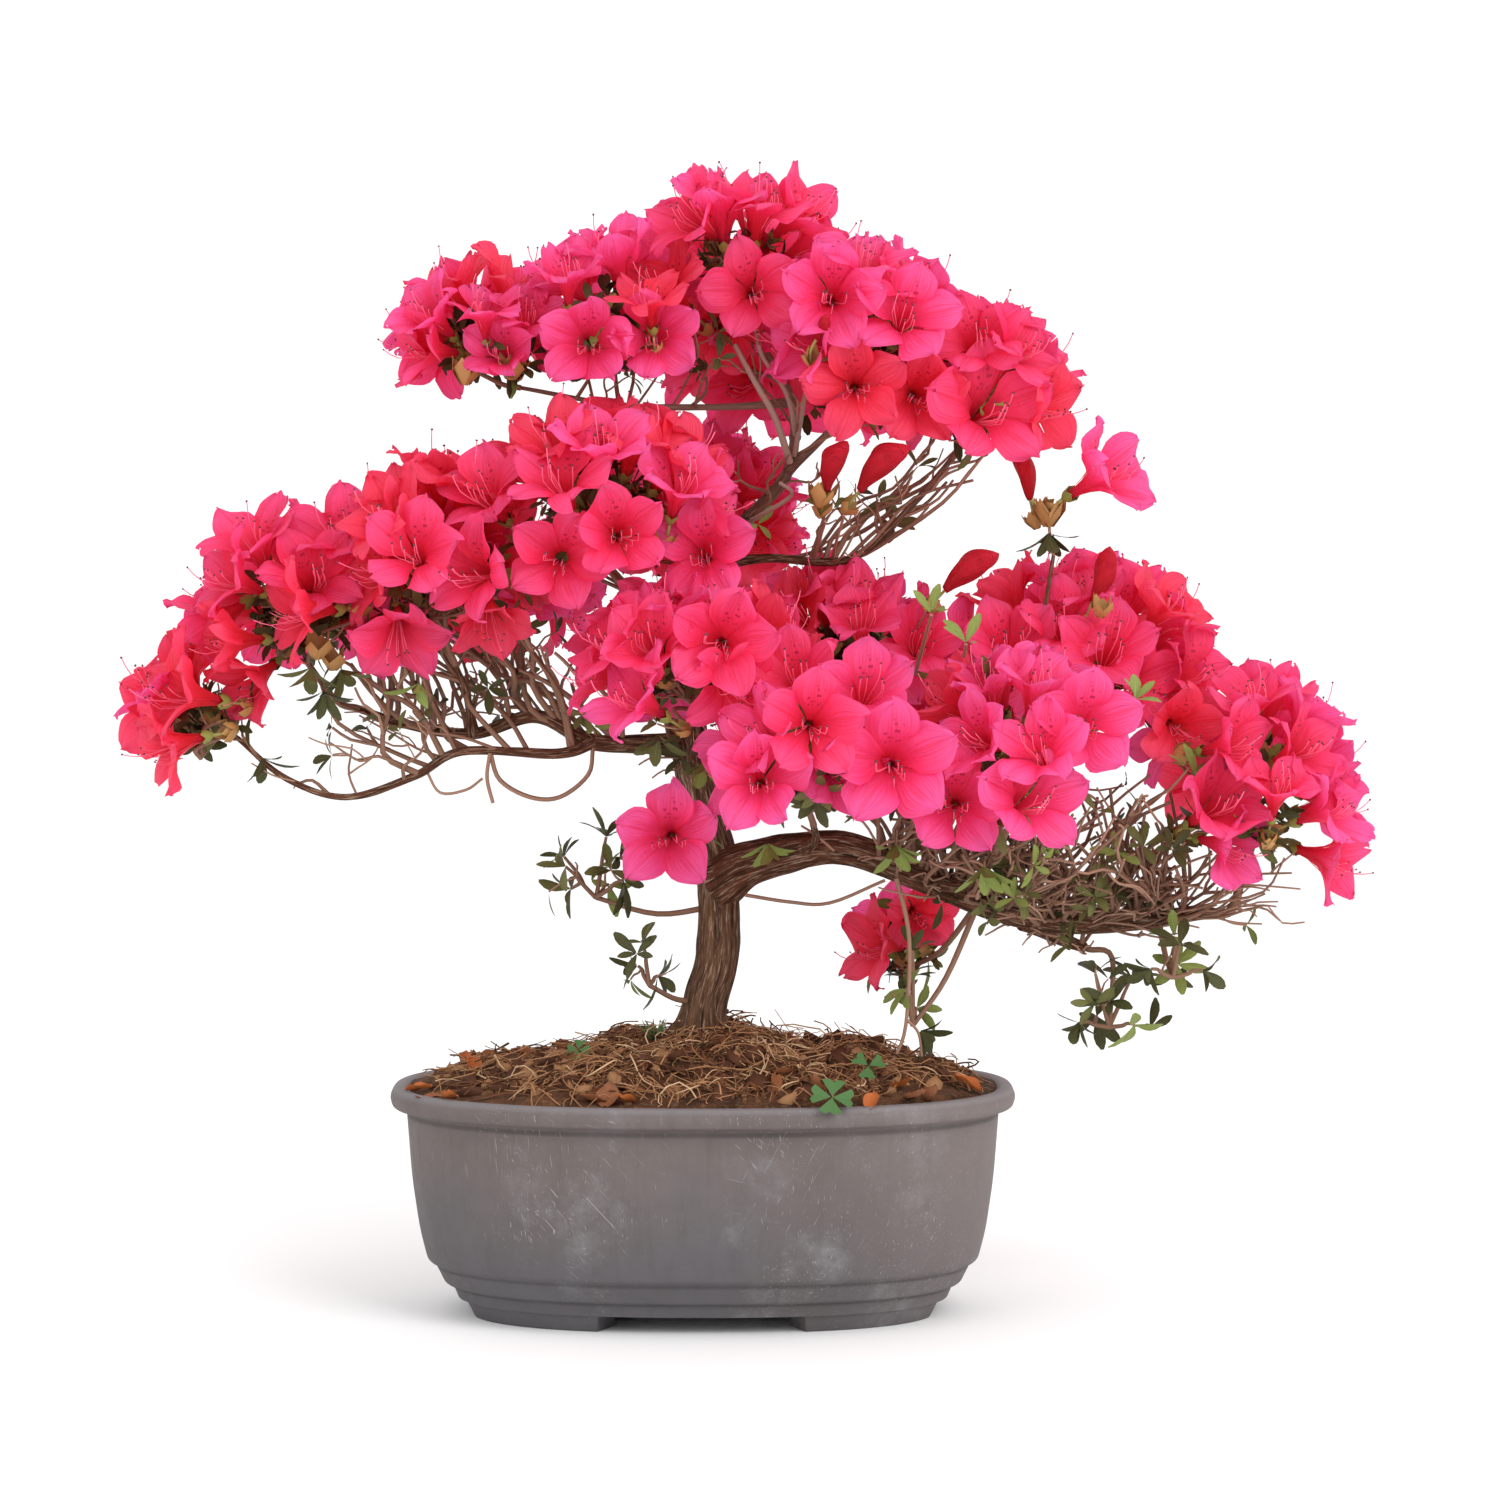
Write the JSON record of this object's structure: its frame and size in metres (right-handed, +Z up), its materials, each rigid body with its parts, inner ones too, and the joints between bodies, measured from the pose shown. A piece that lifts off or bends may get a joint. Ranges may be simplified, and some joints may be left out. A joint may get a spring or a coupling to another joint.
{
  "type": "azalea bonsai",
  "caption": "Azalea bonsai in full red-pink bloom, its leaning trunk and tiered boughs rooted in a footed oval pot.",
  "frame": {"origin": "on the ground under the feet of the pot, at the middle of the whole plant's width and depth", "axes": "+Z up the trunk, +X along the long side of the pot towards the low right bough, +Y to the back of the crown"},
  "size_m": [0.5402, 0.3092, 0.4963],
  "materials": {
    "pot": "matte, scuffed grey-brown",
    "soil": "fibrous brown soil and root litter",
    "bark": "rough dark brown bark",
    "blossom": "soft satin petals",
    "foliage": "matte dark green leaves"
  },
  "bodies": {
    "root": {"bough_front": "bark", "bough_left": "bark", "bough_left_low": "bark", "bough_left_mid": "bark", "bough_left_rear": "bark", "bough_middle_left": "bark", "bough_middle_rear": "bark", "bough_right": "bark", "bough_right_front": "bark", "bough_right_inner": "bark", "bough_right_low": "bark", "bough_right_rear": "bark", "bough_right_top": "bark", "bough_upper_left": "bark", "bough_upper_mid": "bark", "bough_upper_rear": "bark", "bough_upper_right": "bark", "leader": "bark", "pad_apex": "blossom", "pad_far_left": "blossom", "pad_far_right": "blossom", "pad_front": "blossom", "pad_left": "blossom", "pad_left_centre": "blossom", "pad_left_rear": "blossom", "pad_middle": "blossom", "pad_middle_rear": "blossom", "pad_right_core": "blossom", "pad_right_front": "blossom", "pad_right_inner": "blossom", "pad_right_rear": "blossom", "pad_right_top": "blossom", "pad_upper_centre": "blossom", "pad_upper_far_right": "blossom", "pad_upper_left": "blossom", "pad_upper_rear": "blossom", "pad_upper_right": "blossom", "pot": "pot", "shoot_right": "bark", "soil": "soil", "spray_lone_flower": "blossom", "spray_low_front": "blossom", "spray_under_bough": "blossom", "sprig_bough_end": "foliage", "sprig_bough_low": "foliage", "sprig_hanging": "foliage", "sprig_trunk_left": "foliage", "sprig_trunk_low": "foliage", "trunk": "bark"}
  },
  "joints": []
}
